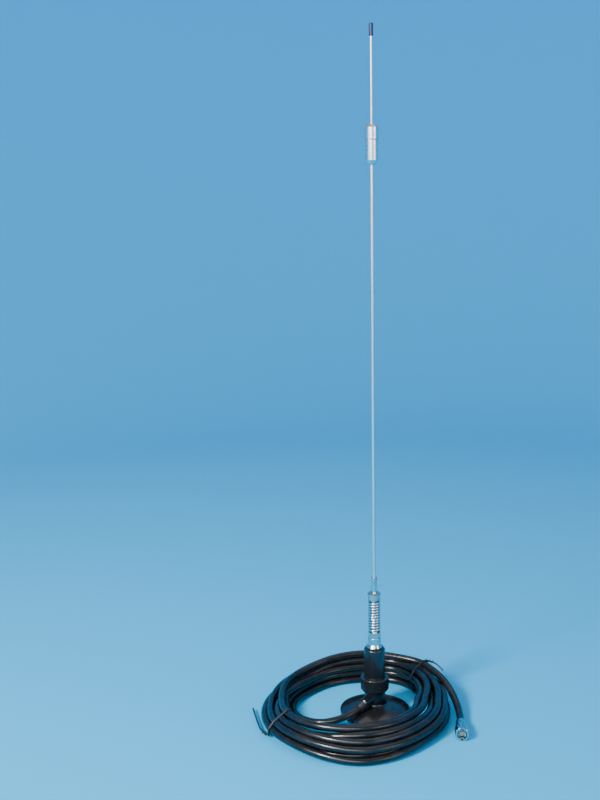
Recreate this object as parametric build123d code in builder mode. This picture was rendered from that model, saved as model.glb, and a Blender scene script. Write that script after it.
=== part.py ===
from build123d import *
import math
import os

# Magnetic-mount whip antenna with a base spring, a tunable tip and a coaxial lead.
# Millimetres, +Z up. The origin is the middle of the rubber pad's underside.

os.makedirs("parts", exist_ok=True)

# ---------------------------------------------------------------- clearances
seat_gap = 0.02      # pieces that are held still in one another, per side
running_gap = 0.06   # turning or sliding fits, per side
free_gap = 0.3       # pieces that pass each other without a fit
edge_round = 0.5     # small rounded edges on turned pieces
edge_bevel = 0.6     # small bevels on turned pieces

# ---------------------------------------------------------------- magnetic base
base_radius = 37.0
pad_thickness = 1.0
pad_inset = 0.8
rim_height = 3.6       # straight side of the cover above the pad
dome_rise = 6.2        # from the top of the rim to the root of the neck
rim_round = 0.9
magnet_radius = 27.0
magnet_hole_radius = 13.5
magnet_thickness = 3.0
pole_thickness = 1.2
base_screw_radius = 1.4
base_screw_circle = 8.0
base_screw_count = 3
base_screw_length = 5.4
base_screw_head = 1.4
base_screw_head_radius = 2.7
dome_fullness = 0.72   # height of the dome half-way in, as a share of its rise

# ---------------------------------------------------------------- neck and socket
neck_radius = 11.2
neck_height = 15.2     # straight neck above the root of the dome
neck_flare = 3.2
bushing_stem_radius = 9.2
bushing_bore_radius = 7.6
bushing_head_radius = 12.6
bushing_head_height = 7.6
socket_depth = 12.2    # insulator and stem below the bushing's top
wiring_chamber_radius = 5.0
wiring_chamber_height = 5.0
feed_core_radius = 1.1
thread_pitch = 1.5
thread_depth = 0.6
socket_contact_radius = 2.8
insulator_setback = 1.0  # below the bushing's top
contact_setback = 1.6
contact_bottom = 1.0     # solid metal under the contact's bore
bushing_threads = 4
feed_bend = 1.6

# ---------------------------------------------------------------- locking ring and coil housing
ring_radius = 15.0
ring_height = 15.0
ring_lip = 3.6         # thickness of the inward lip that holds the housing's flange
ring_bevel_height = 2.4
ring_bevel_width = 2.0
ring_round = 0.8
ring_flutes = 24
flute_radius = 0.7
housing_radius = 11.2
housing_wall = 2.2
housing_height = 40.0
housing_top_wall = 2.6
housing_edge_round = 2.0
flange_height = 3.0
contact_pin_radius = 1.4
contact_pin_reach = 8.0
contact_pin_head_radius = 2.4
contact_pin_head_height = 0.8
former_radius = 5.4
former_bore_radius = 2.6
former_clearance = 1.2   # former's height above the flange
coil_wire_radius = 0.5
coil_pitch = 2.0
coil_turns = 10

# ---------------------------------------------------------------- spring and its fittings
stud_radius = 3.4
stud_reach = 8.0
washer_radius = 9.4
washer_thickness = 1.5
foot_flare_height = 3.0
foot_flare_radius = 8.6
foot_radius = 7.0
foot_height = 7.4
foot_round = 0.5
flats_radius = 6.9
flats_height = 5.6
flats_count = 8
spring_radius = 6.7      # outside of the wire
spring_wire_radius = 1.28
spring_pitch = 2.93
spring_turns = 11.5
spigot_height = 4.0
braid_radius = 1.5
braid_seat = 3.0
cap_radius = 6.6
cap_brim_radius = 7.1
cap_height = 7.6
cap_slot_width = 1.2
cap_slots = 6
cap_slot_height = 3.2
cap_brim_height = 2.4
cap_bevel = 1.4

# ---------------------------------------------------------------- whip
ferrule_radius = 2.95
ferrule_collar_radius = 3.5
ferrule_height = 16.5
ferrule_collar_height = 3.0
ferrule_stud_radius = 2.1
ferrule_stud_reach = 5.5
grub_screw_radius = 0.9
grub_screw_length = 2.3
mast_radius = 1.85
mast_wall = 0.55
mast_length = 451.8
mast_seat = 13.0         # how far the mast goes into the ferrule
sleeve_radius = 6.5
sleeve_length = 19.5
sleeve_cone_height = 4.6
sleeve_spigot_radius = 4.7
sleeve_spigot_height = 8.0
nut_radius = 6.9
nut_height = 14.2
nut_bevel = 2.6
sleeve_cone_root = 2.65
nut_joint_gap = 0.5      # groove left open between nut and sleeve
collet_radius = 3.2
collet_slit = 0.5
collet_reach = 1.8      # above the sleeve's spigot
collet_slit_share = 0.7
whip_radius = 1.15
whip_visible = 83.3      # from the nut's top to the tip cap
whip_inside = 110.0      # from the nut's top down into the mast
tip_cap_radius = 2.1
tip_cap_height = 12.2
tip_cap_cover = 9.0      # how much of the whip the cap covers

# ---------------------------------------------------------------- coaxial lead
cable_radius = 3.8
gland_heading = 228.0    # degrees from +X, where the lead leaves the base
gland_tilt = 10.0        # degrees below level
gland_radius = 6.4
gland_reach = 20.5       # mouth's distance from the axis
gland_bevel = 1.0
gland_rise = 4.4         # gland's axis above the root of the neck at the mouth
boot_radius = 5.4
boot_end_radius = 4.6
boot_step = 0.8          # shoulder between the boot's neck and body
boot_inside = 7.0
boot_outside = 8.0
boot_floor = 1.5
lead_straight = 17.0     # from the gland's mouth to the first corner
tail_straight = 26.0     # from the plug to the last corner

coil_outer_center = (-20.5, -16.0)
coil_outer_radius = 105.0
coil_inner_center = (-20.5, -8.0)
coil_inner_radius = 67.0
coil_height = 35.0
coil_shoulder = 9.0      # rounding of the bundle's upper edges
coil_foot_round = 4.0    # and of its lower edges
tie_wire = 1.3
tie_width = 2.2
tie_slack = 0.1
tie_bend = 12.0
# Each tie's heading round the coil, and the path of its loose end.
ties = {
    "cable_tie_left": (204.0, [(-119.8, -52.2, 10.0), (-124.5, -30.0, 3.5), (-131.0, 5.0, 4.0)]),
    "cable_tie_right": (42.0, [(53.9, 59.0, 24.0), (66.0, 52.0, 34.0), (79.0, 45.0, 31.0)]),
}

# ---------------------------------------------------------------- bayonet plug
plug_face = (83.8, -69.2)
plug_heading = 264.2     # degrees from +X, the way the plug's face looks
plug_nut_radius = 7.25
plug_nut_length = 11.0
plug_nut_bore_radius = 4.95
plug_flutes = 12
plug_sleeve_radius = 4.05
plug_sleeve_wall = 0.45
plug_body_radius = 5.6
plug_body_length = 6.0
plug_collar_depth = 3.2      # how far the body reaches into the coupling nut
plug_sleeve_setback = 0.8
plug_socket_depth = 6.5
plug_collar_radius = 6.2
plug_insulator_radius = 2.4
plug_pin_radius = 0.65
plug_clamp_radius = 6.3
plug_clamp_length = 8.0
plug_ferrule_radius = 4.9
plug_ferrule_length = 3.0
plug_flute_radius = 1.5
plug_flute_share = 0.55      # flutes' length as a share of the coupling nut
plug_flute_offset = 0.9      # flutes' axes outside the nut's surface
lug_slot_width = 2.4
lug_slot_depth = 2.2
lug_slot_length = 5.5
sleeve_slit_width = 0.5
sleeve_slit_length = 3.9
insulator_front = 2.0
pin_front = 1.2
gasket_thickness = 0.9
plug_lift = 0.05             # coupling nut's clearance above the floor

# ================================================================ derived heights
pad_top = pad_thickness
magnet_top = pad_top + magnet_thickness
pole_top = magnet_top + pole_thickness
rim_top = pad_top + rim_height
dome_top = rim_top + dome_rise
neck_top = dome_top + neck_height
bushing_top = neck_top + bushing_head_height
socket_floor = bushing_top - socket_depth
housing_floor = bushing_top + running_gap
contact_floor = housing_floor - contact_pin_reach - contact_bottom
flange_top = housing_floor + flange_height
housing_top = housing_floor + housing_height
ring_floor = neck_top - running_gap
ring_top = ring_floor + ring_height
lip_floor = ring_top - ring_lip
flange_radius = bushing_head_radius - free_gap
washer_top = housing_top + washer_thickness
flare_top = washer_top + foot_flare_height
foot_top = flare_top + foot_height
spring_floor = foot_top + flats_height
spring_height = spring_pitch * spring_turns
spring_top = spring_floor + spring_height + 2 * (spring_wire_radius + seat_gap)
braid_floor = spring_floor + spigot_height - braid_seat
braid_top = spring_top - spigot_height + braid_seat
cap_top = spring_top + cap_height
ferrule_top = cap_top + ferrule_height
mast_floor = ferrule_top - mast_seat
mast_top = mast_floor + mast_length
mast_bore = mast_radius - mast_wall
sleeve_floor = mast_top - sleeve_cone_height - sleeve_length / 2
sleeve_top = sleeve_floor + sleeve_cone_height + sleeve_length
nut_floor = sleeve_top + nut_joint_gap
nut_top = nut_floor + nut_height
spigot_top = sleeve_top + sleeve_spigot_height
collet_floor = mast_top + free_gap
collet_top = spigot_top + collet_reach
cap_floor = nut_top + whip_visible
spring_mean_radius = spring_radius - spring_wire_radius
spigot_radius = spring_mean_radius - spring_wire_radius - seat_gap
stand = (Align.CENTER, Align.CENTER, Align.MIN)
hang = (Align.CENTER, Align.CENTER, Align.MAX)

# ================================================================ derived places
pole_room = pole_top + free_gap
screw_top = magnet_top + base_screw_length
dome_middle_radius = (base_radius + neck_radius) / 2
thread_heights = [neck_top + 1.0 + thread_pitch * i for i in range(bushing_threads)]
gland_slope = math.tan(math.radians(gland_tilt))
gland_out = Vector(1, 0, 0).rotate(Axis.Z, gland_heading)
gland_mouth = gland_out * gland_reach + Vector(0, 0, dome_top + gland_rise)
gland_plane = Plane(
    origin=gland_mouth,
    x_dir=gland_out.rotate(Axis.Z, 90),
    z_dir=gland_out - Vector(0, 0, gland_slope),
)
boot_neck_radius = boot_radius - boot_step
feed_knee_height = gland_mouth.Z + gland_reach * gland_slope
feed_start = gland_plane.from_local_coords(Vector(0, 0, -boot_inside))
plug_out = Vector(1, 0, 0).rotate(Axis.Z, plug_heading)
plug_plane = Plane(
    origin=(plug_face[0], plug_face[1], plug_nut_radius + plug_lift),
    x_dir=(0, 0, 1),
    z_dir=plug_out,
)


def rod(radius, low, high, mode=Mode.ADD):
    """A cylinder on the mast's axis, from one height to another."""
    with Locations(Plane.XY.offset(low)):
        Cylinder(radius, high - low, align=stand, mode=mode)


def plug_rod(radius, front, back, mode=Mode.ADD):
    """A cylinder on the plug's axis, between two distances behind its face."""
    with Locations(plug_plane.offset(-back)):
        Cylinder(radius, back - front, align=stand, mode=mode)


def is_ring(edge, radius, height):
    """True for a circular edge of that radius at that height."""
    same_radius = edge.geom_type == GeomType.CIRCLE and abs(edge.radius - radius) < 0.01
    return same_radius and abs(edge.center().Z - height) < 0.6


# ================================================================ magnetic base
with BuildPart() as base_pad:
    rod(base_radius - pad_inset, 0, pad_top)
base_pad.part.label = "base_pad"
export_step(base_pad.part, "parts/base_pad.step")

with BuildPart() as ring_magnet:
    rod(magnet_radius, pad_top, magnet_top)
    rod(magnet_hole_radius, pad_top, magnet_top, Mode.SUBTRACT)
    chamfer(ring_magnet.edges().filter_by(GeomType.CIRCLE), edge_bevel)
ring_magnet.part.label = "ring_magnet"
export_step(ring_magnet.part, "parts/ring_magnet.step")

with BuildPart() as pole_plate:
    rod(magnet_radius, magnet_top, pole_top)
    with Locations(Plane.XY.offset(pole_top)):
        with PolarLocations(base_screw_circle, base_screw_count):
            Hole(base_screw_radius + free_gap)
pole_plate.part.label = "pole_plate"
export_step(pole_plate.part, "parts/pole_plate.step")

with BuildPart() as base_screws:
    with Locations(Plane.XY.offset(magnet_top)):
        with PolarLocations(base_screw_circle, base_screw_count):
            Cylinder(base_screw_radius, base_screw_length, align=stand)
            Cylinder(base_screw_head_radius, base_screw_head, align=hang)
base_screws.part.label = "base_screws"
export_step(base_screws.part, "parts/base_screws.step")

with BuildPart() as base_cover:
    with BuildSketch(Plane.XZ):
        with BuildLine():
            Line((base_radius, pad_top), (base_radius, rim_top))
            ThreePointArc(
                (base_radius, rim_top),
                (dome_middle_radius, rim_top + dome_rise * dome_fullness),
                (neck_radius, dome_top),
            )
            Polyline(
                (neck_radius, dome_top),
                (neck_radius, neck_top),
                (0, neck_top),
                (0, pad_top),
                (base_radius, pad_top),
            )
        make_face()
    revolve(axis=Axis.Z)
    fillet(base_cover.edges().filter_by(lambda e: is_ring(e, neck_radius, dome_top)), neck_flare)
    fillet(base_cover.edges().filter_by(lambda e: is_ring(e, base_radius, rim_top)), rim_round)
    with Locations(gland_plane.offset(-gland_bevel)):
        Cone(gland_radius, gland_radius - gland_bevel, gland_bevel, align=stand)
        Cylinder(gland_radius, gland_reach - bushing_stem_radius, align=hang)
    rod(magnet_radius + free_gap, pad_top, pole_room, Mode.SUBTRACT)
    rod(bushing_stem_radius + seat_gap, socket_floor, neck_top, Mode.SUBTRACT)
    rod(wiring_chamber_radius, socket_floor - wiring_chamber_height, socket_floor, Mode.SUBTRACT)
    with Locations(Plane.XY.offset(pole_room)):
        with PolarLocations(base_screw_circle, base_screw_count):
            Cylinder(
                base_screw_radius + seat_gap,
                screw_top - pole_room + free_gap,
                align=stand,
                mode=Mode.SUBTRACT,
            )
    with BuildSketch(gland_plane):
        Circle(boot_neck_radius + seat_gap)
    extrude(amount=-boot_inside, mode=Mode.SUBTRACT)
    with Locations(gland_plane):
        Cone(
            boot_radius + seat_gap,
            boot_end_radius + seat_gap,
            boot_outside,
            align=stand,
            mode=Mode.SUBTRACT,
        )
    with BuildSketch(gland_plane.offset(-boot_inside)):
        Circle(feed_core_radius + free_gap)
    extrude(amount=-(gland_reach - boot_inside), mode=Mode.SUBTRACT)
base_cover.part.label = "base_cover"
export_step(base_cover.part, "parts/base_cover.step")

# ---------------------------------------------------------------- socket in the neck
with BuildPart() as mount_bushing:
    rod(bushing_stem_radius, socket_floor, neck_top)
    rod(bushing_head_radius, neck_top, bushing_top)
    rod(bushing_bore_radius, socket_floor, bushing_top, Mode.SUBTRACT)
    with BuildSketch(Plane.XZ):
        with Locations(*[(bushing_head_radius, z) for z in thread_heights]):
            RegularPolygon(thread_depth, 3, rotation=180)
    revolve(axis=Axis.Z, mode=Mode.SUBTRACT)
mount_bushing.part.label = "mount_bushing"
export_step(mount_bushing.part, "parts/mount_bushing.step")

with BuildPart() as socket_insulator:
    rod(bushing_bore_radius - seat_gap, socket_floor, bushing_top - insulator_setback)
    rod(socket_contact_radius + seat_gap, socket_floor, bushing_top, Mode.SUBTRACT)
socket_insulator.part.label = "socket_insulator"
export_step(socket_insulator.part, "parts/socket_insulator.step")

with BuildPart() as socket_contact:
    rod(socket_contact_radius, socket_floor, bushing_top - contact_setback)
    rod(contact_pin_radius + running_gap, contact_floor, bushing_top, Mode.SUBTRACT)
socket_contact.part.label = "socket_contact"
export_step(socket_contact.part, "parts/socket_contact.step")

with BuildPart() as feed_core:
    with BuildLine() as feed_path:
        FilletPolyline(feed_start, (0, 0, feed_knee_height), (0, 0, socket_floor), radius=feed_bend)
    with BuildSketch(Plane(origin=feed_path.line @ 0, z_dir=feed_path.line % 0)):
        Circle(feed_core_radius)
    sweep()
feed_core.part.label = "feed_core"
export_step(feed_core.part, "parts/feed_core.step")

# ---------------------------------------------------------------- locking ring
with BuildPart() as locking_ring:
    rod(ring_radius, ring_floor, ring_top)
    chamfer(locking_ring.edges().sort_by(Axis.Z)[0], ring_bevel_height, ring_bevel_width)
    fillet(locking_ring.edges().sort_by(Axis.Z)[-1], ring_round)
    rod(bushing_head_radius + running_gap, ring_floor, lip_floor, Mode.SUBTRACT)
    rod(housing_radius + free_gap, lip_floor, ring_top, Mode.SUBTRACT)
    with Locations(Plane.XY.offset(ring_floor)):
        with PolarLocations(ring_radius + flute_radius / 2, ring_flutes):
            Cylinder(flute_radius, lip_floor - ring_floor, align=stand, mode=Mode.SUBTRACT)
locking_ring.part.label = "locking_ring"
export_step(locking_ring.part, "parts/locking_ring.step")

# ---------------------------------------------------------------- coil housing
former_floor = flange_top + former_clearance
insert_top = housing_top - housing_top_wall
insert_floor = insert_top - stud_reach
loading_height = coil_pitch * coil_turns
loading_radius = former_radius + coil_wire_radius + seat_gap
loading_floor = (former_floor + insert_floor - loading_height) / 2
housing_bore = housing_radius - housing_wall

with BuildPart() as coil_housing:
    rod(housing_radius, housing_floor, housing_top)
    fillet(coil_housing.edges().sort_by(Axis.Z)[-1], housing_edge_round)
    rod(flange_radius, housing_floor, flange_top)
    rod(housing_bore, housing_floor, insert_top, Mode.SUBTRACT)
    rod(stud_radius + seat_gap, insert_top, housing_top, Mode.SUBTRACT)
coil_housing.part.label = "coil_housing"
export_step(coil_housing.part, "parts/coil_housing.step")

with BuildPart() as housing_plug:
    rod(housing_bore - seat_gap, housing_floor, flange_top)
    rod(contact_pin_radius + seat_gap, housing_floor, flange_top, Mode.SUBTRACT)
housing_plug.part.label = "housing_plug"
export_step(housing_plug.part, "parts/housing_plug.step")

with BuildPart() as contact_pin:
    rod(contact_pin_radius, housing_floor - contact_pin_reach, flange_top)
    fillet(contact_pin.edges().sort_by(Axis.Z)[0], contact_pin_radius * 0.7)
    rod(contact_pin_head_radius, flange_top, flange_top + contact_pin_head_height)
contact_pin.part.label = "contact_pin"
export_step(contact_pin.part, "parts/contact_pin.step")

with BuildPart() as coil_former:
    rod(former_radius, former_floor, insert_floor - free_gap)
    rod(former_bore_radius, former_floor, insert_floor, Mode.SUBTRACT)
coil_former.part.label = "coil_former"
export_step(coil_former.part, "parts/coil_former.step")

with BuildPart() as loading_coil:
    with BuildLine() as loading_path:
        Helix(coil_pitch, loading_height, loading_radius, center=(0, 0, loading_floor))
    with BuildSketch(Plane(origin=loading_path.line @ 0, z_dir=loading_path.line % 0)):
        Circle(coil_wire_radius)
    sweep(is_frenet=True)
loading_coil.part.label = "loading_coil"
export_step(loading_coil.part, "parts/loading_coil.step")

with BuildPart() as stud_insert:
    rod(housing_bore - seat_gap, insert_floor, insert_top - seat_gap)
    rod(stud_radius + seat_gap, insert_floor, insert_top, Mode.SUBTRACT)
stud_insert.part.label = "stud_insert"
export_step(stud_insert.part, "parts/stud_insert.step")

# ---------------------------------------------------------------- spring and its fittings
with BuildPart() as seal_washer:
    rod(washer_radius, housing_top, washer_top)
    rod(stud_radius + seat_gap, housing_top, washer_top, Mode.SUBTRACT)
    fillet(seal_washer.edges().filter_by(GeomType.CIRCLE).group_by(SortBy.RADIUS)[-1], edge_round)
seal_washer.part.label = "seal_washer"
export_step(seal_washer.part, "parts/seal_washer.step")

with BuildPart() as spring_foot:
    rod(stud_radius, insert_floor, washer_top)
    with Locations(Plane.XY.offset(washer_top)):
        Cone(foot_flare_radius, foot_radius, foot_flare_height, align=stand)
    rod(foot_radius, flare_top, foot_top)
    fillet(spring_foot.edges().filter_by(lambda e: is_ring(e, foot_radius, foot_top)), foot_round)
    with BuildSketch(Plane.XY.offset(foot_top - foot_round)):
        RegularPolygon(flats_radius, flats_count, rotation=180 / flats_count)
    extrude(amount=foot_round + flats_height)
    rod(spigot_radius, spring_floor, spring_floor + spigot_height)
    rod(braid_radius + seat_gap, braid_floor, spring_floor + spigot_height, Mode.SUBTRACT)
spring_foot.part.label = "spring_foot"
export_step(spring_foot.part, "parts/spring_foot.step")

with BuildPart() as base_spring:
    with BuildLine() as spring_path:
        Helix(
            spring_pitch,
            spring_height,
            spring_mean_radius,
            center=(0, 0, spring_floor + spring_wire_radius + seat_gap),
        )
    with BuildSketch(Plane(origin=spring_path.line @ 0, z_dir=spring_path.line % 0)):
        Circle(spring_wire_radius)
    sweep(is_frenet=True)
base_spring.part.label = "base_spring"
export_step(base_spring.part, "parts/base_spring.step")

with BuildPart() as spring_braid:
    rod(braid_radius, braid_floor + seat_gap, braid_top - seat_gap)
spring_braid.part.label = "spring_braid"
export_step(spring_braid.part, "parts/spring_braid.step")

with BuildPart() as spring_cap:
    rod(cap_radius, spring_top, cap_top)
    with Locations(Plane.XY.offset(cap_top - cap_brim_height)):
        Cylinder(cap_brim_radius, cap_brim_height, align=stand)
    chamfer(spring_cap.edges().sort_by(Axis.Z)[-1], cap_bevel)
    rod(spigot_radius, spring_top - spigot_height, spring_top)
    rod(braid_radius + seat_gap, spring_top - spigot_height, braid_top, Mode.SUBTRACT)
    rod(ferrule_stud_radius + seat_gap, cap_top - ferrule_stud_reach, cap_top, Mode.SUBTRACT)
    with Locations(Plane.XY.offset(spring_top)):
        with PolarLocations(cap_radius, cap_slots, start_angle=90 / cap_slots):
            Box(cap_slot_width, cap_slot_width, cap_slot_height, align=stand, mode=Mode.SUBTRACT)
spring_cap.part.label = "spring_cap"
export_step(spring_cap.part, "parts/spring_cap.step")

# ---------------------------------------------------------------- whip
collar_middle = ferrule_top - ferrule_collar_height / 2
with BuildPart() as whip_ferrule:
    rod(ferrule_stud_radius, cap_top - ferrule_stud_reach, cap_top)
    rod(ferrule_radius, cap_top, ferrule_top)
    rod(ferrule_collar_radius, ferrule_top - ferrule_collar_height, ferrule_top)
    chamfer(whip_ferrule.edges().sort_by(Axis.Z)[-1], edge_bevel)
    rod(mast_radius + seat_gap, mast_floor, ferrule_top, Mode.SUBTRACT)
    with Locations(Plane(origin=(0, 0, collar_middle), z_dir=(1, 0, 0))):
        Cylinder(grub_screw_radius + seat_gap, 3 * ferrule_collar_radius, mode=Mode.SUBTRACT)
whip_ferrule.part.label = "whip_ferrule"
export_step(whip_ferrule.part, "parts/whip_ferrule.step")

with BuildPart() as grub_screws:
    for side in (1, -1):
        grub_tip = (side * (mast_radius + seat_gap), 0, collar_middle)
        with Locations(Plane(origin=grub_tip, z_dir=(side, 0, 0))):
            Cylinder(grub_screw_radius, grub_screw_length, align=stand)
grub_screws.part.label = "grub_screws"
export_step(grub_screws.part, "parts/grub_screws.step")

with BuildPart() as lower_mast:
    rod(mast_radius, mast_floor, mast_top)
    rod(mast_bore, mast_floor, mast_top, Mode.SUBTRACT)
lower_mast.part.label = "lower_mast"
export_step(lower_mast.part, "parts/lower_mast.step")

with BuildPart() as coupling_sleeve:
    with Locations(Plane.XY.offset(sleeve_floor)):
        Cone(sleeve_cone_root, sleeve_radius, sleeve_cone_height, align=stand)
    rod(sleeve_radius, sleeve_floor + sleeve_cone_height, sleeve_top)
    rod(sleeve_spigot_radius, sleeve_top, spigot_top)
    fillet(coupling_sleeve.edges().filter_by(lambda e: is_ring(e, sleeve_radius, sleeve_top)), edge_round)
    rod(mast_radius + seat_gap, sleeve_floor, mast_top + seat_gap, Mode.SUBTRACT)
    rod(collet_radius + seat_gap, mast_top + seat_gap, spigot_top, Mode.SUBTRACT)
coupling_sleeve.part.label = "coupling_sleeve"
export_step(coupling_sleeve.part, "parts/coupling_sleeve.step")

with BuildPart() as collet:
    rod(collet_radius, collet_floor, collet_top)
    rod(whip_radius + running_gap, collet_floor, collet_top, Mode.SUBTRACT)
    with Locations(Plane.XY.offset(collet_top)):
        with PolarLocations(0, 3):
            Box(
                2 * collet_radius,
                collet_slit,
                (collet_top - collet_floor) * collet_slit_share,
                align=(Align.MIN, Align.CENTER, Align.MAX),
                mode=Mode.SUBTRACT,
            )
collet.part.label = "collet"
export_step(collet.part, "parts/collet.step")

with BuildPart() as clamp_nut:
    rod(nut_radius, nut_floor, nut_top)
    chamfer(clamp_nut.edges().sort_by(Axis.Z)[-1], nut_bevel, nut_bevel * 0.8)
    fillet(clamp_nut.edges().sort_by(Axis.Z)[0], edge_round)
    rod(sleeve_spigot_radius + running_gap, nut_floor, spigot_top + free_gap, Mode.SUBTRACT)
    rod(collet_radius + free_gap, spigot_top, collet_top + free_gap, Mode.SUBTRACT)
    rod(whip_radius + free_gap, collet_top, nut_top, Mode.SUBTRACT)
clamp_nut.part.label = "clamp_nut"
export_step(clamp_nut.part, "parts/clamp_nut.step")

with BuildPart() as upper_whip:
    rod(whip_radius, nut_top - whip_inside, cap_floor + tip_cap_cover)
    fillet(upper_whip.edges().sort_by(Axis.Z)[0], whip_radius * 0.5)
upper_whip.part.label = "upper_whip"
export_step(upper_whip.part, "parts/upper_whip.step")

with BuildPart() as tip_cap:
    rod(tip_cap_radius, cap_floor, cap_floor + tip_cap_height)
    fillet(tip_cap.edges().sort_by(Axis.Z)[-1], tip_cap_radius * 0.75)
    fillet(tip_cap.edges().sort_by(Axis.Z)[0], edge_round)
    rod(whip_radius + seat_gap, cap_floor, cap_floor + tip_cap_cover + seat_gap, Mode.SUBTRACT)
tip_cap.part.label = "tip_cap"
export_step(tip_cap.part, "parts/tip_cap.step")

# ---------------------------------------------------------------- bayonet plug
nut_back = plug_nut_length
collar_back = nut_back + plug_body_length
clamp_back = collar_back + plug_clamp_length
plug_back = clamp_back + plug_ferrule_length
sleeve_root = nut_back - plug_collar_depth

with BuildPart() as plug_coupling_nut:
    plug_rod(plug_nut_radius, 0, nut_back)
    chamfer(plug_coupling_nut.edges().group_by(Axis(plug_plane.origin, plug_out))[-1], edge_bevel)
    with Locations(plug_plane.offset(-nut_back)):
        with PolarLocations(plug_nut_radius + plug_flute_offset, plug_flutes):
            Cylinder(plug_flute_radius, nut_back * plug_flute_share, align=stand, mode=Mode.SUBTRACT)
    plug_rod(plug_nut_bore_radius, 0, sleeve_root, Mode.SUBTRACT)
    plug_rod(plug_body_radius + running_gap, sleeve_root, nut_back, Mode.SUBTRACT)
    with Locations(plug_plane):
        with PolarLocations(plug_nut_bore_radius, 2):
            Box(lug_slot_depth, lug_slot_width, lug_slot_length, align=hang, mode=Mode.SUBTRACT)
plug_coupling_nut.part.label = "plug_coupling_nut"
export_step(plug_coupling_nut.part, "parts/plug_coupling_nut.step")

with BuildPart() as plug_body:
    plug_rod(plug_sleeve_radius, plug_sleeve_setback, sleeve_root + running_gap)
    plug_rod(plug_body_radius, sleeve_root + running_gap, nut_back + running_gap)
    plug_rod(plug_collar_radius, nut_back + running_gap, collar_back)
    plug_rod(plug_insulator_radius + seat_gap, 0, collar_back, Mode.SUBTRACT)
    plug_rod(plug_sleeve_radius - plug_sleeve_wall, 0, plug_socket_depth, Mode.SUBTRACT)
    with Locations(plug_plane.offset(-plug_sleeve_setback)):
        with PolarLocations(plug_sleeve_radius - plug_sleeve_wall / 2, 4, start_angle=45):
            Box(
                2 * plug_sleeve_wall + running_gap,
                sleeve_slit_width,
                sleeve_slit_length,
                align=hang,
                mode=Mode.SUBTRACT,
            )
plug_body.part.label = "plug_body"
export_step(plug_body.part, "parts/plug_body.step")

with BuildPart() as plug_insulator:
    plug_rod(plug_insulator_radius, insulator_front, collar_back)
    plug_rod(plug_pin_radius + seat_gap, 0, collar_back, Mode.SUBTRACT)
plug_insulator.part.label = "plug_insulator"
export_step(plug_insulator.part, "parts/plug_insulator.step")

with BuildPart() as plug_pin:
    plug_rod(plug_pin_radius, pin_front, collar_back)
    fillet(plug_pin.edges().group_by(Axis(plug_plane.origin, plug_out))[-1], plug_pin_radius * 0.6)
plug_pin.part.label = "plug_pin"
export_step(plug_pin.part, "parts/plug_pin.step")

with BuildPart() as plug_gasket:
    plug_rod(plug_nut_bore_radius - free_gap, sleeve_root - gasket_thickness, sleeve_root)
    plug_rod(plug_sleeve_radius + seat_gap, sleeve_root - gasket_thickness, sleeve_root, Mode.SUBTRACT)
plug_gasket.part.label = "plug_gasket"
export_step(plug_gasket.part, "parts/plug_gasket.step")

with BuildPart() as plug_clamp_nut:
    with BuildSketch(plug_plane.offset(-clamp_back)):
        RegularPolygon(plug_clamp_radius, 6)
    extrude(amount=plug_clamp_length)
    plug_rod(cable_radius + seat_gap, collar_back, clamp_back, Mode.SUBTRACT)
plug_clamp_nut.part.label = "plug_clamp_nut"
export_step(plug_clamp_nut.part, "parts/plug_clamp_nut.step")

with BuildPart() as plug_ferrule:
    plug_rod(plug_ferrule_radius, clamp_back, plug_back)
    chamfer(plug_ferrule.edges().group_by(Axis(plug_plane.origin, plug_out))[0], edge_bevel)
    plug_rod(cable_radius + seat_gap, clamp_back, plug_back, Mode.SUBTRACT)
plug_ferrule.part.label = "plug_ferrule"
export_step(plug_ferrule.part, "parts/plug_ferrule.step")

# ---------------------------------------------------------------- coaxial lead
with BuildPart() as cable_boot:
    with BuildSketch(gland_plane.offset(-boot_inside)):
        Circle(boot_neck_radius)
    extrude(amount=boot_inside)
    with BuildSketch(gland_plane):
        Circle(boot_radius)
    with BuildSketch(gland_plane.offset(boot_outside)):
        Circle(boot_end_radius)
    loft()
    with BuildSketch(gland_plane.offset(boot_outside)):
        Circle(cable_radius + seat_gap)
    extrude(amount=-boot_outside - boot_inside + boot_floor, mode=Mode.SUBTRACT)
cable_boot.part.label = "cable_boot"
export_step(cable_boot.part, "parts/cable_boot.step")

lead_start = gland_plane.from_local_coords(Vector(0, 0, boot_floor - boot_inside))
lead_knee = gland_plane.from_local_coords(Vector(0, 0, lead_straight))
lead_points = [
    (lead_start.X, lead_start.Y, lead_start.Z),
    (lead_knee.X, lead_knee.Y, lead_knee.Z),
    (-42.7, -35.0, 7.8),
    (-61.7, -33.5, 4.8),
    (-78.0, -23.8, 4.2),
    (-88.4, -7.9, 4.6),
    (-90.7, 11.0, 6.0),
]
plug_end = plug_plane.from_local_coords(Vector(0, 0, -collar_back))
tail_knee = plug_plane.from_local_coords(Vector(0, 0, -collar_back - tail_straight))
tail_points = [
    (20.0, 79.5, 30.0),
    (44.0, 68.6, 30.4),
    (64.4, 49.8, 28.6),
    (79.0, 25.4, 22.6),
    (86.2, -0.6, 14.2),
    (tail_knee.X, tail_knee.Y, tail_knee.Z),
    (plug_end.X, plug_end.Y, plug_end.Z),
]
print("lead points", [[round(c, 2) for c in point] for point in lead_points])
print("tail points", [[round(c, 2) for c in point] for point in tail_points])


def corner_radii(points):
    """The largest even arc at each corner: 0.45 of the shorter run over the tangent of half the turn."""
    radii = []
    for before, corner, after in zip(points, points[1:], points[2:]):
        way_in = Vector(*corner) - Vector(*before)
        way_out = Vector(*after) - Vector(*corner)
        half_turn = math.radians(way_in.get_angle(way_out)) / 2
        radii.append(0.45 * min(way_in.length, way_out.length) / math.tan(half_turn))
    return radii


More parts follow.
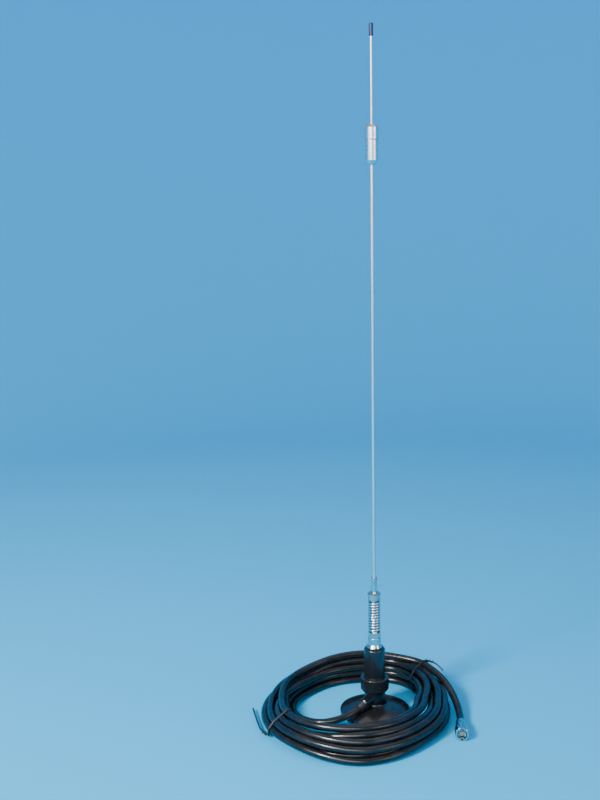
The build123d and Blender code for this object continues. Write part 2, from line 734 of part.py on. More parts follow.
for label, points in (("cable_lead", lead_points), ("cable_tail", tail_points)):
    radii = corner_radii(points)
    print(label, "arc radii", [round(r, 1) for r in radii])
    with BuildPart() as cable_tube:
        with BuildLine() as tube_path:
            FilletPolyline(*points, radius=radii)
        with BuildSketch(Plane(origin=tube_path.line @ 0, z_dir=tube_path.line % 0)):
            Circle(cable_radius)
        sweep()
    tube_length = tube_path.wires()[0].length
    full_volume = math.pi * cable_radius**2 * tube_length
    print(label, "length", round(tube_length, 1), "share", round(cable_tube.part.volume / full_volume, 4))
    cable_tube.part.label = label
    export_step(cable_tube.part, f"parts/{label}.step")

with BuildPart() as cable_coil:
    with BuildSketch(Plane.XY.offset(tie_wire + seat_gap)):
        with Locations(coil_outer_center):
            Circle(coil_outer_radius)
        with Locations(coil_inner_center):
            Circle(coil_inner_radius, mode=Mode.SUBTRACT)
    extrude(amount=coil_height - tie_wire - seat_gap)
    fillet(cable_coil.edges().group_by(Axis.Z)[-1], coil_shoulder)
    fillet(cable_coil.edges().group_by(Axis.Z)[0], coil_foot_round)
cable_coil.part.label = "cable_coil"
export_step(cable_coil.part, "parts/cable_coil.step")

coil_middle = Vector(coil_inner_center[0], coil_inner_center[1], 0)
for label, (heading, tie_end) in ties.items():
    tie_out = Vector(1, 0, 0).rotate(Axis.Z, heading)
    tie_plane = Plane(origin=coil_middle, x_dir=tie_out, z_dir=tie_out.rotate(Axis.Z, -90))
    cuts = section(cable_coil.part, section_by=tie_plane).faces()
    bundle_cut = cuts.sort_by(Axis((coil_middle.X, coil_middle.Y, 0), (tie_out.X, tie_out.Y, 0)))[-1]
    bundle_box = tie_plane.to_local_coords(bundle_cut).bounding_box()
    with BuildPart() as cable_tie:
        with BuildSketch(tie_plane.offset(-tie_width / 2)):
            with Locations(bundle_box.center()):
                RectangleRounded(
                    bundle_box.size.X + 2 * tie_wire,
                    bundle_box.size.Y + 2 * tie_wire,
                    coil_foot_round + tie_wire,
                )
                RectangleRounded(
                    bundle_box.size.X + 2 * tie_slack,
                    bundle_box.size.Y + 2 * tie_slack,
                    coil_foot_round + tie_slack,
                    mode=Mode.SUBTRACT,
                )
        extrude(amount=tie_width)
        with BuildLine() as tail_path:
            FilletPolyline(*tie_end, radius=tie_bend)
        with BuildSketch(Plane(origin=tail_path.line @ 0, z_dir=tail_path.line % 0)):
            Circle(tie_wire / 2)
        sweep()
    cable_tie.part.label = label
    print(label, "solids", len(cable_tie.part.solids()), "volume", round(cable_tie.part.volume, 1))
    export_step(cable_tie.part, f"parts/{label}.step")
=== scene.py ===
# Magnetic-base whip antenna with its coiled lead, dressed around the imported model.
import math

import bmesh
import bpy
from mathutils import Matrix, Vector


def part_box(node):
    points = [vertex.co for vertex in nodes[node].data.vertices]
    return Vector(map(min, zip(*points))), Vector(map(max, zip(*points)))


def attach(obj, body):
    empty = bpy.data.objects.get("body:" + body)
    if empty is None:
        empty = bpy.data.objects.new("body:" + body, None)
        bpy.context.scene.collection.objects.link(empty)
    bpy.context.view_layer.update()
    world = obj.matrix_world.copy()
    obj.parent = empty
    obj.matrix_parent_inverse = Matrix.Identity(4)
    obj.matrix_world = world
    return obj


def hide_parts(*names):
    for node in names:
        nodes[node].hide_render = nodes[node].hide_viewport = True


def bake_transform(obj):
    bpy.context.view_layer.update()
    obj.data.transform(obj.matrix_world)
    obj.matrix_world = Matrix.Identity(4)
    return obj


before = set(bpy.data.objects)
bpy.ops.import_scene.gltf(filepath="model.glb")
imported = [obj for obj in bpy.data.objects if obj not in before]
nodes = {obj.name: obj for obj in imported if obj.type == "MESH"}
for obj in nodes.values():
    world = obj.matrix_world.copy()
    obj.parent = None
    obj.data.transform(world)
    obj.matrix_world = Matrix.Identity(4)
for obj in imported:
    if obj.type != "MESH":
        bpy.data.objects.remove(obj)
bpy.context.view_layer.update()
mm = 0.001
print("frame loaded", len(nodes), "nodes")

# camera ----------------------------------------------------------------

cameraSet = {
    "place": (-0.0746, -1.1174, 0.5413),
    "pitch": 10.1,  # degrees below level
    "roll": -1.0,
    "lens": 50.0,
}


def makeCamera(opts):
    data = bpy.data.cameras.new("studioCamera")
    data.lens = opts["lens"]
    data.sensor_width = 36.0
    camera = bpy.data.objects.new("studioCamera", data)
    bpy.context.scene.collection.objects.link(camera)
    look = Matrix.Rotation(math.radians(90 - opts["pitch"]), 4, "X")
    turn = Matrix.Rotation(math.radians(opts["roll"]), 4, "Z")
    camera.matrix_world = Matrix.Translation(opts["place"]) @ look @ turn
    bpy.context.scene.camera = camera


makeCamera(cameraSet)

# cable -----------------------------------------------------------------

cableSet = {
    "radius": 3.8,  # all in mm
    "floor": 3.9,  # lowest centre line
    "length": 4.9,  # metres
    "rings": 5,
}

# Coil's centre line: radius and height of each strand, in winding order, at headings round
# the coil's centre. The cable winds clockwise seen from above.
coilSet = {
    "centre": (-20.0, -16.0),
    "steps": 24,
    "turns": 8.31,
    "start": 3,
    "spacing": 7.7,
    "rounds": 40,
    "push": 0.3,  # how hard touching strands part, each round
    "ease": 0.3,  # how far each point moves to its neighbours' middle
}
coilSections = {
    180: ((70.5, 5.8), (77.6, 4.0), (85.2, 4.0), (92.6, 4.0), (98.0, 9.3),
          (91.6, 13.0), (83.8, 13.4), (74.5, 12.2), (79.5, 19.8)),
    135: ((78.0, 4.2), (84.2, 8.5), (86.5, 3.9), (94.0, 4.0), (98.5, 10.4),
          (96.4, 17.8), (81.0, 15.6), (88.5, 15.2), (89.5, 23.2)),
    90: ((91.5, 4.0), (92.6, 11.4), (99.6, 4.2), (100.4, 11.8), (101.5, 19.2),
         (100.2, 26.4), (92.0, 18.2), (93.6, 25.2), (94.4, 32.0)),
    60: ((101.0, 4.0), (102.0, 10.9), (108.6, 4.2), (109.6, 11.9), (109.8, 19.4),
         (108.4, 26.6), (101.4, 17.8), (102.6, 24.6), (103.0, 31.8)),
    30: ((90.0, 5.5), (92.5, 13.2), (98.0, 4.2), (103.0, 10.5), (103.5, 18.0),
         (97.5, 23.0), (82.0, 19.5), (89.5, 24.5), (103.0, 27.0)),
    0: ((79.5, 5.0), (78.8, 16.5), (88.8, 4.2), (95.5, 10.0), (92.8, 17.6),
        (85.6, 20.6), (64.2, 20.6), (72.2, 22.8), (104.0, 30.0)),
    -45: ((75.0, 4.5), (77.0, 21.4), (83.6, 5.0), (91.0, 7.2), (90.0, 14.4),
          (84.6, 20.0), (62.4, 22.4), (69.8, 24.6), (104.0, 30.0)),
    -90: ((79.5, 4.6), (82.5, 23.2), (90.5, 5.6), (101.0, 4.4), (97.2, 14.4),
          (89.8, 18.6), (67.6, 25.0), (75.3, 26.6), (104.0, 30.0)),
    -135: ((77.0, 4.0), (82.0, 15.6), (89.6, 4.6), (97.2, 9.6), (93.4, 16.8),
           (88.0, 19.6), (72.5, 20.5), (80.2, 25.0), (104.0, 30.0)),
}
leadPoints = (
    (-10.09, -11.21, 16.16), (-24.92, -27.68, 12.25), (-42.7, -35.0, 7.8), (-61.7, -33.5, 4.8),
    (-78.0, -23.8, 4.2), (-87.0, -8.5, 4.4), (-88.0, 9.0, 5.0), (-82.5, 25.0, 4.6),
)
tailPoints = (
    (50.0, 64.0, 31.0), (64.4, 49.8, 28.6), (79.0, 25.4, 22.6),
    (86.2, -0.6, 14.2), (88.15, -26.42, 7.3), (85.52, -52.29, 7.3),
)


def strandAim(wound, strand):
    headings = [180 - h for h in coilSections] + [360]
    rows = list(coilSections.values())
    at = max(i for i, h in enumerate(headings[:-1]) if h <= wound)
    low = rows[at][strand]
    high = rows[at + 1][strand] if at + 1 < len(rows) else rows[0][min(strand + 1, 8)]
    share = (wound - headings[at]) / (headings[at + 1] - headings[at])
    share = (share + share * share * (3 - 2 * share)) / 2
    return [a + (b - a) * share for a, b in zip(low, high)]


def coilTurns(opts, lowest):
    steps = opts["steps"]
    count = round(opts["turns"] * steps) + 1
    aims = [strandAim(i % steps * 360 / steps, i // steps) for i in range(count)]
    shifts = [[0.0, 0.0] for _ in aims]

    def placed():
        return [(a[0] + s[0], max(a[1] + s[1], lowest)) for a, s in zip(aims, shifts)]

    for _ in range(opts["rounds"]):  # strands press each other apart, and stay smooth
        rows = placed()
        for a in range(count):
            for b in range(a + steps, count, steps):
                out, up = rows[b][0] - rows[a][0], rows[b][1] - rows[a][1]
                apart = max(math.hypot(out, up), 1e-6)
                push = opts["push"] * max(opts["spacing"] - apart, 0) / apart
                for row, way in ((b, push), (a, -push)):
                    shifts[row][0] += out * way
                    shifts[row][1] += up * way
        for i in range(1, count - 1):
            for k in (0, 1):
                middle = (shifts[i - 1][k] + shifts[i + 1][k]) / 2
                shifts[i][k] += (middle - shifts[i][k]) * opts["ease"]
    turns = []
    for i, (radius, height) in enumerate(placed()):
        angle = math.radians(180 - i * 360 / steps)
        turns.append((
            opts["centre"][0] + radius * math.cos(angle),
            opts["centre"][1] + radius * math.sin(angle),
            height,
        ))
    return turns[opts["start"]:]


def addSpline(curve, points):
    spline = curve.splines.new("NURBS")
    spline.points.add(len(points) - 1)
    for point, place in zip(spline.points, points):
        point.co = (*[c * mm for c in place], 1)
    spline.order_u = 3
    spline.use_endpoint_u = True
    return spline


def newCurve(name, bevel, rings, resolution=8):
    curve = bpy.data.curves.new(name, "CURVE")
    curve.dimensions = "3D"
    curve.resolution_u = resolution
    curve.bevel_resolution = rings
    curve.use_fill_caps = True
    curve.bevel_depth = bevel * mm
    piece = bpy.data.objects.new(name, curve)
    bpy.context.scene.collection.objects.link(piece)
    return piece


def centreLine(piece):
    depth = piece.data.bevel_depth
    piece.data.bevel_depth = 0
    bpy.context.view_layer.update()
    graph = bpy.context.evaluated_depsgraph_get()
    mesh = bpy.data.meshes.new_from_object(piece.evaluated_get(graph))
    line = [v.co / mm for v in mesh.vertices]
    bpy.data.meshes.remove(mesh)
    piece.data.bevel_depth = depth
    return line


cable = newCurve("antennaCable", cableSet["radius"], cableSet["rings"])
cableRoute = (*leadPoints, *coilTurns(coilSet, cableSet["floor"]), *tailPoints)
addSpline(cable.data, cableRoute)
cableLine = centreLine(cable)
cableLength = sum((b - a).length for a, b in zip(cableLine, cableLine[1:])) * mm
print("cable laid", round(cableLength, 3), "m,", len(cableRoute), "points")

# shader maths ----------------------------------------------------------


class Value:
    # One socket of a finish, which can be added, multiplied and so on.
    def __init__(self, finish, socket):
        self.finish = finish
        self.socket = socket

    def maths(self, operation, first, second):
        return self.finish.node("ShaderNodeMath", {"operation": operation}, {0: first, 1: second})

    def __add__(self, other):
        return self.maths("ADD", self, other)

    def __sub__(self, other):
        return self.maths("SUBTRACT", self, other)

    def __mul__(self, other):
        return self.maths("MULTIPLY", self, other)

    __radd__ = __add__


class Finish:
    def __init__(self, name, **fixed):
        self.material = bpy.data.materials.new(name)
        self.material.use_nodes = True
        self.tree = self.material.node_tree
        self.shader = self.tree.nodes["Principled BSDF"]
        for socket, value in fixed.items():
            self.shader.inputs[socket.replace("_", " ")].default_value = value

    def node(self, kind, settings=None, inputs=None, output=0):
        made = self.tree.nodes.new(kind)
        for key, value in (settings or {}).items():
            if key == "stops":
                ramp = made.color_ramp.elements
                while len(ramp) < len(value):
                    ramp.new(0.5)
                for stop, (place, shade) in zip(ramp, value):
                    stop.position = place
                    stop.color = (shade, shade, shade, 1)
            else:
                setattr(made, key, value)
        for key, value in (inputs or {}).items():
            if isinstance(value, Value):
                self.tree.links.new(value.socket, made.inputs[key])
            else:
                made.inputs[key].default_value = value
        return Value(self, made.outputs[output])

    def feed(self, socket, value):
        self.tree.links.new(value.socket, self.shader.inputs[socket])

    def place(self, stretch=(1, 1, 1), turn=(0, 0, 0)):
        spot = self.node("ShaderNodeTexCoord", output=3)
        return self.node(
            "ShaderNodeMapping", {"vector_type": "POINT"},
            {"Vector": spot, "Rotation": turn, "Scale": stretch},
        )

    def noise(self, scale, detail, where=None):
        return self.node(
            "ShaderNodeTexNoise", {"noise_dimensions": "3D"},
            {"Vector": where or self.place(), "Scale": scale, "Detail": detail},
        )

    def ramp(self, value, stops):
        return self.node("ShaderNodeValToRGB", {"stops": stops}, {"Fac": value})

    def blend(self, share, first, second):
        return self.node(
            "ShaderNodeMix", {"data_type": "RGBA"}, {0: share, 6: (*first, 1), 7: (*second, 1)}, 2,
        )

    def bump(self, height, strength, depth):
        normal = self.node(
            "ShaderNodeBump", {}, {"Height": height, "Strength": strength, "Distance": depth * mm},
        )
        self.feed("Normal", normal)

    def facingUp(self):
        normal = self.node("ShaderNodeNewGeometry", output=1)
        return self.node("ShaderNodeSeparateXYZ", {}, {"Vector": normal}, 2)


# finishes --------------------------------------------------------------

mouldedSet = {
    # colour, duller patch colour, roughness, spread of roughness, grain in mm, grain depth, coat
    "glossBlackMoulding": (
        (0.004, 0.0042, 0.005), (0.016, 0.016, 0.017), 0.22, 0.10, 1.4, 0.010, 0.12,
    ),
    "housingBlack": ((0.0075, 0.0078, 0.009), (0.017, 0.017, 0.019), 0.24, 0.12, 0.8, 0.012, 0.30),
    "ringBlack": ((0.008, 0.008, 0.0085), (0.02, 0.019, 0.019), 0.28, 0.12, 0.7, 0.014, 0.20),
    "padRubber": ((0.016, 0.016, 0.016), (0.035, 0.034, 0.033), 0.78, 0.14, 0.45, 0.05, 0.0),
    "bootRubber": ((0.009, 0.009, 0.010), (0.022, 0.022, 0.022), 0.42, 0.14, 0.5, 0.03, 0.0),
    "whitePlastic": ((0.72, 0.71, 0.68), (0.60, 0.58, 0.53), 0.34, 0.12, 0.8, 0.01, 0.0),
    # plug insulator made dark grey as painted shade for the deep inside of the plug
    "plugInsulatorPaintedShade": ((0.16, 0.155, 0.15), (0.10, 0.095, 0.09), 0.38, 0.12, 0.8, 0.01, 0.0),
    "navyCap": ((0.005, 0.009, 0.045), (0.012, 0.018, 0.070), 0.34, 0.15, 0.5, 0.02, 0.1),
    "tieBlack": ((0.010, 0.010, 0.011), (0.03, 0.03, 0.03), 0.40, 0.15, 0.6, 0.02, 0.0),
    "gasketRed": ((0.34, 0.035, 0.025), (0.20, 0.02, 0.02), 0.50, 0.15, 0.4, 0.02, 0.0),
    "ferrite": ((0.030, 0.029, 0.029), (0.075, 0.072, 0.070), 0.62, 0.20, 0.3, 0.06, 0.0),
}


def mouldedFinish(name, opts):
    colour, patch, rough, spread, grain, depth, coat = opts
    made = Finish(name, Specular_IOR_Level=0.5, Coat_Weight=coat, Coat_Roughness=0.08)
    clouds = made.noise(1 / (9 * mm), 4)
    specks = made.noise(1 / (grain * mm), 2)
    dust = made.ramp(made.facingUp() * 0.6 + clouds * 0.5, ((0.45, 0.0), (0.95, 0.8)))
    made.feed("Base Color", made.blend(dust * specks, colour, patch))
    made.feed("Roughness", rough + (clouds - 0.5) * spread + dust * specks * spread)
    made.bump(specks + clouds * 0.5, 0.35, depth)
    return made.material


turnedSet = {
    # colour, tarnish, roughness, spread, gap between tool marks in mm, depth of marks
    "nickelPlate": ((0.62, 0.60, 0.57), (0.42, 0.38, 0.34), 0.17, 0.14, 0.16, 0.006),
    "brightNickel": ((0.60, 0.58, 0.55), (0.40, 0.36, 0.32), 0.15, 0.12, 0.20, 0.005),
    "zincSteel": ((0.50, 0.51, 0.53), (0.36, 0.35, 0.33), 0.34, 0.20, 0.25, 0.010),
    "sleeveAluminium": ((0.84, 0.82, 0.79), (0.66, 0.61, 0.55), 0.24, 0.14, 0.12, 0.007),
    "turnedBrass": ((0.78, 0.56, 0.24), (0.50, 0.34, 0.14), 0.22, 0.16, 0.18, 0.008),
    "copperWire": ((0.80, 0.36, 0.22), (0.45, 0.20, 0.12), 0.26, 0.16, 0.30, 0.008),
}


def turnedFinish(name, opts, axis=(0, 0, 0)):
    colour, tarnish, rough, spread, gap, depth = opts
    made = Finish(name, Metallic=1.0)
    marks = made.noise(1 / (gap * mm), 2, made.place((0.02, 0.02, 1), turn=axis))
    clouds = made.noise(1 / (5 * mm), 4)
    stain = made.ramp(clouds, ((0.42, 0.0), (0.78, 0.75)))
    made.feed("Base Color", made.blend(stain, colour, tarnish))
    made.feed("Roughness", rough + (marks - 0.5) * spread + stain * spread * 0.6)
    made.bump(marks + clouds * 0.2, 0.5, depth)
    return made.material


drawnSet = {"colour": (0.80, 0.77, 0.73), "warm": (0.66, 0.55, 0.48), "rough": 0.30}


def drawnFinish(name, opts):
    made = Finish(name, Metallic=1.0)
    streaks = made.noise(1 / (0.35 * mm), 3, made.place((1, 1, 0.012)))
    clouds = made.noise(1 / (22 * mm), 4, made.place((1, 1, 0.35)))
    specks = made.noise(1 / (0.7 * mm), 3)
    stain = made.ramp(clouds, ((0.35, 0.0), (0.75, 1.0)))
    pits = made.ramp(specks, ((0.62, 0.0), (0.74, 1.0)))
    made.feed("Base Color", made.blend(stain * 0.7 + pits * 0.3, opts["colour"], opts["warm"]))
    made.feed("Roughness", opts["rough"] + (streaks - 0.5) * 0.18 + stain * 0.10 + pits * 0.1)
    made.bump(streaks - pits * 0.6, 0.5, 0.008)
    return made.material


springSet = {"colour": (0.74, 0.72, 0.69), "shade": (0.42, 0.39, 0.36), "rough": 0.12}


def springFinish(name, opts):
    made = Finish(name, Metallic=1.0)
    clouds = made.noise(1 / (2.5 * mm), 4)
    streaks = made.noise(1 / (0.22 * mm), 2, made.place((0.1, 0.1, 1)))
    stain = made.ramp(clouds, ((0.48, 0.0), (0.80, 0.8)))
    made.feed("Base Color", made.blend(stain, opts["colour"], opts["shade"]))
    made.feed("Roughness", opts["rough"] + stain * 0.16 + (streaks - 0.5) * 0.08)
    made.bump(streaks + clouds * 0.4, 0.3, 0.006)
    return made.material


jacketSet = {"colour": (0.0060, 0.0062, 0.0066), "scuff": (0.017, 0.017, 0.018), "rough": 0.27}


def jacketFinish(name, opts):
    made = Finish(name, Specular_IOR_Level=0.4, Coat_Weight=0.12, Coat_Roughness=0.12)
    waves = made.noise(1 / (16 * mm), 3)
    ripples = made.noise(1 / (3.2 * mm), 3)
    grain = made.noise(1 / (0.5 * mm), 2)
    scuffs = made.ramp(waves * 0.6 + grain * 0.4, ((0.50, 0.0), (0.72, 1.0)))
    made.feed("Base Color", made.blend(scuffs, opts["colour"], opts["scuff"]))
    made.feed("Roughness", opts["rough"] + (waves - 0.5) * 0.16 + scuffs * 0.12)
    made.bump(waves + ripples * 0.35 + grain * 0.03, 0.5, 0.22)
    return made.material


finishes = {name: mouldedFinish(name, opts) for name, opts in mouldedSet.items()}
finishes.update({name: turnedFinish(name, opts) for name, opts in turnedSet.items()})
plugTurn = (math.radians(90), 0, math.radians(264.2 - 270))
finishes["plugNickel"] = turnedFinish("plugNickel", turnedSet["brightNickel"], plugTurn)
finishes["drawnWhip"] = drawnFinish("drawnWhip", drawnSet)
finishes["springChrome"] = springFinish("springChrome", springSet)
finishes["cableJacket"] = jacketFinish("cableJacket", jacketSet)

nodeFinishes = {
    "padRubber": ("base_pad",),
    "ferrite": ("ring_magnet",),
    "zincSteel": ("pole_plate", "base_screws", "grub_screws"),
    "glossBlackMoulding": ("base_cover",),
    "nickelPlate": ("mount_bushing", "stud_insert", "spring_foot", "spring_cap", "whip_ferrule"),
    "whitePlastic": ("socket_insulator", "coil_former"),
    # dark grey here is painted shade for the plug's deep inside
    "plugInsulatorPaintedShade": ("plug_insulator",),
    "turnedBrass": ("socket_contact", "contact_pin", "collet", "plug_pin"),
    "copperWire": ("feed_core", "loading_coil"),
    "ringBlack": ("locking_ring", "seal_washer", "housing_plug"),
    "housingBlack": ("coil_housing",),
    "drawnWhip": ("lower_mast", "upper_whip"),
    "sleeveAluminium": ("coupling_sleeve", "clamp_nut"),
    "navyCap": ("tip_cap",),
    "plugNickel": ("plug_coupling_nut", "plug_body", "plug_clamp_nut", "plug_ferrule"),
    "gasketRed": ("plug_gasket",),
}


def dress(piece, finish):
    slots = piece.data.materials
    if not len(slots):
        slots.append(None)
    for i in range(len(slots)):
        slots[i] = finishes[finish]


for finishName, nodeNames in nodeFinishes.items():
    for nodeName in nodeNames:
        dress(nodes[nodeName], finishName)
print("finishes made", len(finishes))

# mesh helpers ----------------------------------------------------------


def newPiece(name, mesh, finish):
    data = bpy.data.meshes.new(name)
    bmesh.ops.recalc_face_normals(mesh, faces=mesh.faces)
    mesh.to_mesh(data)
    mesh.free()
    piece = bpy.data.objects.new(name, data)
    bpy.context.scene.collection.objects.link(piece)
    data.shade_smooth()
    dress(piece, finish)
    return piece


def closeEnds(mesh):
    rims = [e for e in mesh.edges if e.is_boundary]
    bmesh.ops.holes_fill(mesh, edges=rims, sides=0)


def spunShape(profile, segments=48):
    # Turns a profile of (radius, height) round Z.
    mesh = bmesh.new()
    points = [mesh.verts.new((r * mm, 0, z * mm)) for r, z in profile]
    edges = [mesh.edges.new(pair) for pair in zip(points, points[1:])]
    bmesh.ops.spin(
        mesh, geom=points + edges, cent=(0, 0, 0), axis=(0, 0, 1), angle=math.tau,
        steps=segments, use_merge=True, use_duplicate=False,
    )
    bmesh.ops.remove_doubles(mesh, verts=mesh.verts, dist=1e-6)
    return mesh


# cable finish ----------------------------------------------------------

dress(cable, "cableJacket")
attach(cable, "root")
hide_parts("cable_lead", "cable_coil", "cable_tail")

# wire ties -------------------------------------------------------------

tieSet = {
    "wire": 0.62,  # radius
    "tail": 1.55,  # loose end's thickness, as a share of the wire's
    "clear": 0.1,
    "sides": 16,  # points round each strand that the tie is laid over
    "wide": 2.2,  # twist's radius, as a share of the wire's
    "pitch": 4.2,  # of the twist
    "twist": 9.0,  # twisted length
    "nearest": 60.0,  # strands closer to the middle are not in the bundle
    # heading, then the loose end's route
    "left": (204.0, (
        (-112.5, -56.0, 4.5), (-119.8, -52.2, 5.5), (-124.5, -30.0, 3.5), (-131.0, 5.0, 4.0),
    )),
    "right": (42.0, (
        (61.5, 58.0, 33.0), (68.0, 53.0, 33.5), (74.0, 47.5, 31.5), (79.0, 43.0, 27.0),
    )),
}


def bundleCut(line, centre, heading):
    # Strand centres (radius, height) where the cable crosses a heading.
    out = Vector((math.cos(math.radians(heading)), math.sin(math.radians(heading)), 0))
    side = Vector((-out.y, out.x, 0))
    middle = Vector((*centre, 0))
    cuts = []
    for a, b in zip(line, line[1:]):
        low, high = (a - middle).dot(side), (b - middle).dot(side)
        if low * high <= 0 and low != high:
            spot = a + (b - a) * (low / (low - high))
            radius = (spot - middle).dot(out)
            if radius > tieSet["nearest"]:
                cuts.append((radius, spot.z))
    return cuts, out, side, middle


def hullOf(points):
    points = sorted(set(points))

    def half(run):
        kept = []
        for p in run:
            while len(kept) > 1:
                (ax, ay), (bx, by) = kept[-2:]
                if (bx - ax) * (p[1] - ay) - (by - ay) * (p[0] - ax) > 0:
                    break
                kept.pop()
            kept.append(p)
        return kept[:-1]

    return half(points) + half(points[::-1])


def makeTie(name, node, heading, tail):
    cuts, out, side, middle = bundleCut(cableLine, coilSet["centre"], heading)
    reach = cableSet["radius"] + tieSet["wire"] + tieSet["clear"]
    ring = []
    for radius, height in cuts:
        for k in range(tieSet["sides"]):
            angle = math.tau * k / tieSet["sides"]
            ring.append((
                round(radius + reach * math.cos(angle), 3),
                round(max(height + reach * math.sin(angle), tieSet["wire"] + 0.05), 3),
            ))
    piece = newCurve(name, tieSet["wire"], 3, 4)
    for shift in (-tieSet["wire"], tieSet["wire"]):
        band = [middle + out * r + side * shift + Vector((0, 0, z)) for r, z in hullOf(ring)]
        spline = addSpline(piece.data, band)
        spline.use_cyclic_u = True
    for point in addSpline(piece.data, tail).points:
        point.radius = tieSet["tail"]
    # second wire wound round the first part of the loose end
    run = [Vector(p) for p in tail]
    coils, done = [], 0.0
    step = tieSet["pitch"] / 8
    for a, b in zip(run, run[1:]):
        ahead = (b - a).normalized()
        across = ahead.orthogonal().normalized()
        over = ahead.cross(across)
        length, gone = (b - a).length, 0.0
        while gone < length and done < tieSet["twist"]:
            angle = math.tau * done / tieSet["pitch"]
            wide = tieSet["wide"] * tieSet["wire"]
            aside = across * math.cos(angle) + over * math.sin(angle)
            coils.append(a + ahead * gone + aside * wide)
            gone += step
            done += step
    addSpline(piece.data, coils)
    dress(piece, "tieBlack")
    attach(piece, "root")
    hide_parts(node)
    return piece


makeTie("tieLeft", "cable_tie_left", *tieSet["left"])
makeTie("tieRight", "cable_tie_right", *tieSet["right"])
print("ties wound")

# base spring -----------------------------------------------------------

coilSpringSet = {
    "radius": 5.42,  # to the wire's middle
    "wire": 1.28,
    "pitch": 2.93,
    "turns": 11.5,
    "floor": 92.46,  # wire's middle at the foot
    "steps": 40,  # per turn
    "sides": 14,
    "still": (107.6, 111.0),  # the braid is split at this stretch's middle
}


def springPart(name, fromTurn, toTurn):
    opts = coilSpringSet
    mesh = bmesh.new()
    start = math.tau * fromTurn
    slope = math.atan2(opts["pitch"], math.tau * opts["radius"])
    stand = Matrix.Rotation(start, 4, "Z") @ Matrix.Translation(
        (opts["radius"] * mm, 0, (opts["floor"] + opts["pitch"] * fromTurn) * mm)
    ) @ Matrix.Rotation(math.pi / 2 + slope, 4, "X")
    made = bmesh.ops.create_circle(
        mesh, segments=opts["sides"], radius=opts["wire"] * mm, matrix=stand,
    )
    steps = round((toTurn - fromTurn) * opts["steps"])
    bmesh.ops.spin(
        mesh, geom=made["verts"] + list(mesh.edges), cent=(0, 0, 0), axis=(0, 0, 1),
        dvec=(0, 0, opts["pitch"] / opts["steps"] * mm), angle=math.tau * (toTurn - fromTurn),
        steps=steps, use_duplicate=False,
    )
    closeEnds(mesh)
    return newPiece(name, mesh, "springChrome")


braidSet = {
    "radius": 1.45,
    "sides": 20,
    "rings": 24,
    "twist": 9,  # degrees from each ring to the next
}


def braidPart(name, low, high):
    mesh = bmesh.new()
    bmesh.ops.create_circle(
        mesh, cap_ends=True, segments=braidSet["sides"], radius=braidSet["radius"] * mm,
        matrix=Matrix.Translation((0, 0, low * mm)),
    )
    rings = braidSet["rings"]
    twist = Matrix.Rotation(math.radians(braidSet["twist"]), 3, "Z")
    top = list(mesh.faces)
    for _ in range(rings):
        made = bmesh.ops.extrude_face_region(mesh, geom=top)
        top = [f for f in made["geom"] if isinstance(f, bmesh.types.BMFace)]
        moved = [v for v in made["geom"] if isinstance(v, bmesh.types.BMVert)]
        bmesh.ops.translate(mesh, verts=moved, vec=(0, 0, (high - low) / rings * mm))
        bmesh.ops.rotate(mesh, verts=moved, cent=(0, 0, 0), matrix=twist)
    return newPiece(name, mesh, "copperWire")


halfTurn = coilSpringSet["turns"] / 2
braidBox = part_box("spring_braid")
braidMiddle = sum(coilSpringSet["still"]) / 2
springLow = springPart("springLow", 0, halfTurn)
springHigh = springPart("springHigh", halfTurn, coilSpringSet["turns"])
braidLow = braidPart("braidLow", braidBox[0].z / mm, braidMiddle)
braidHigh = braidPart("braidHigh", braidMiddle, braidBox[1].z / mm)
for piece in (springLow, braidLow):
    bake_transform(piece)
for piece in (springHigh, braidHigh):
    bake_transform(piece)
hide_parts("base_spring")
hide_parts("base_spring")
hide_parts("spring_braid")
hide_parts("spring_braid")
print("spring wound")

# strain relief ---------------------------------------------------------

bootSet = {
    "heading": 228.0,
    "tilt": 10.0,
    "mouth": (-13.72, -15.23, 15.2),
    "neck": 4.55,
    "inside": 7.0,
    "reach": 8.0,
    "wide": 5.4,
    "narrow": 4.6,
    "bore": 3.86,
    "ribs": 4,
}


def makeBoot(opts):
    profile = [(opts["bore"], -opts["inside"]), (opts["neck"], -opts["inside"]), (opts["neck"], 0)]
    pitch = opts["reach"] / opts["ribs"]
    for k in range(opts["ribs"]):
        wide = opts["wide"] + (opts["narrow"] - opts["wide"]) * k / opts["ribs"]
        at = k * pitch
        profile += [
            (wide - 0.15, at + 0.02), (wide, at + 0.2), (wide - 0.06, at + pitch - 0.85),
            (wide - 0.25, at + pitch - 0.65), (wide - 0.55, at + pitch - 0.6),
            (wide - 0.55, at + pitch - 0.08),
        ]
    profile += [(opts["narrow"] - 0.3, opts["reach"]), (opts["bore"], opts["reach"] - 0.05)]
    profile.append(profile[0])
    mesh = spunShape(profile)
    aim = Vector((
        math.cos(math.radians(opts["heading"])), math.sin(math.radians(opts["heading"])),
        -math.tan(math.radians(opts["tilt"])),
    ))
    turn = aim.to_track_quat("Z", "Y").to_matrix().to_4x4()
    stand = Matrix.Translation([c * mm for c in opts["mouth"]]) @ turn
    bmesh.ops.transform(mesh, matrix=stand, verts=mesh.verts)
    boot = newPiece("cableBoot", mesh, "bootRubber")
    # Known fault: this belongs on root with the cable, and lifts off with the antenna.
    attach(boot, "antenna_base")
    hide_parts("cable_boot")


makeBoot(bootSet)
print("boot made")

# floor and light -------------------------------------------------------

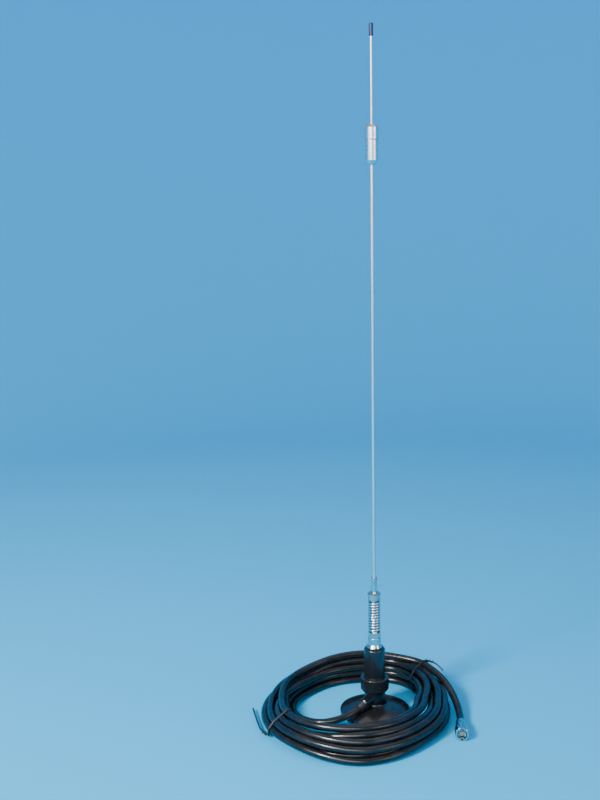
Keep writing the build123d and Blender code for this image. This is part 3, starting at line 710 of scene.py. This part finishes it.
studioSet = {
    "floor": (0.025, 0.45, 0.80),
    "reach": 2.6,
    "curve": 1.2,
    "curveSteps": 16,
    "sides": 96,
    "rise": 2.6,
    "world": (0.86, 0.84, 0.82),
    "worldPower": 0.45,
    "middle": (-0.02, -0.01, 0.15),
}
lightSet = {
    # place, size, power, colour
    "key": ((-1.25, -1.25, 1.35), 0.45, 72.0, (1.0, 0.985, 0.96)),
    "front": ((-0.6, -2.3, 0.98), 1.9, 58.0, (1.0, 0.98, 0.95)),
    "warm": ((1.75, -1.6, 0.8), 1.4, 24.0, (1.0, 0.72, 0.54)),
    "top": ((0.1, 0.5, 1.9), 1.4, 5.0, (0.95, 0.98, 1.0)),
}


def makeStudio(opts):
    mesh = bmesh.new()
    profile = [(0, 0), (opts["reach"] - opts["curve"], 0)]
    for k in range(1, opts["curveSteps"] + 1):
        angle = math.pi / 2 * k / opts["curveSteps"]
        profile.append((
            opts["reach"] - opts["curve"] * (1 - math.sin(angle)),
            opts["curve"] * (1 - math.cos(angle)),
        ))
    profile.append((opts["reach"], opts["rise"]))
    points = [mesh.verts.new((r, 0, z)) for r, z in profile]
    edges = [mesh.edges.new(pair) for pair in zip(points, points[1:])]
    bmesh.ops.spin(
        mesh, geom=points + edges, cent=(0, 0, 0), axis=(0, 0, 1), angle=math.tau,
        steps=opts["sides"], use_merge=True, use_duplicate=False,
    )
    bmesh.ops.remove_doubles(mesh, verts=mesh.verts, dist=1e-5)
    bmesh.ops.recalc_face_normals(mesh, faces=mesh.faces)
    bmesh.ops.reverse_faces(mesh, faces=mesh.faces)
    data = bpy.data.meshes.new("studioFloor")
    mesh.to_mesh(data)
    mesh.free()
    data.shade_smooth()
    floor = bpy.data.objects.new("studioFloor", data)
    bpy.context.scene.collection.objects.link(floor)
    paper = Finish("studioPaper", Roughness=0.9, Specular_IOR_Level=0.1)
    paper.shader.inputs["Base Color"].default_value = (*opts["floor"], 1)
    data.materials.append(paper.material)
    world = bpy.data.worlds.new("studioWorld")
    world.use_nodes = True
    sky = world.node_tree.nodes["Background"]
    sky.inputs["Color"].default_value = (*opts["world"], 1)
    sky.inputs["Strength"].default_value = opts["worldPower"]
    bpy.context.scene.world = world


def makeLight(name, place, size, power, colour):
    data = bpy.data.lights.new(name, "AREA")
    data.shape = "DISK"
    data.size = size
    data.energy = power
    data.color = colour
    lamp = bpy.data.objects.new(name, data)
    bpy.context.scene.collection.objects.link(lamp)
    lamp.location = place
    lamp.rotation_mode = "QUATERNION"
    aim = Vector(studioSet["middle"]) - Vector(place)
    lamp.rotation_quaternion = aim.to_track_quat("-Z", "Y")


makeStudio(studioSet)
for lightName, lightOpts in lightSet.items():
    makeLight(lightName + "Light", *lightOpts)
print("studio lit")
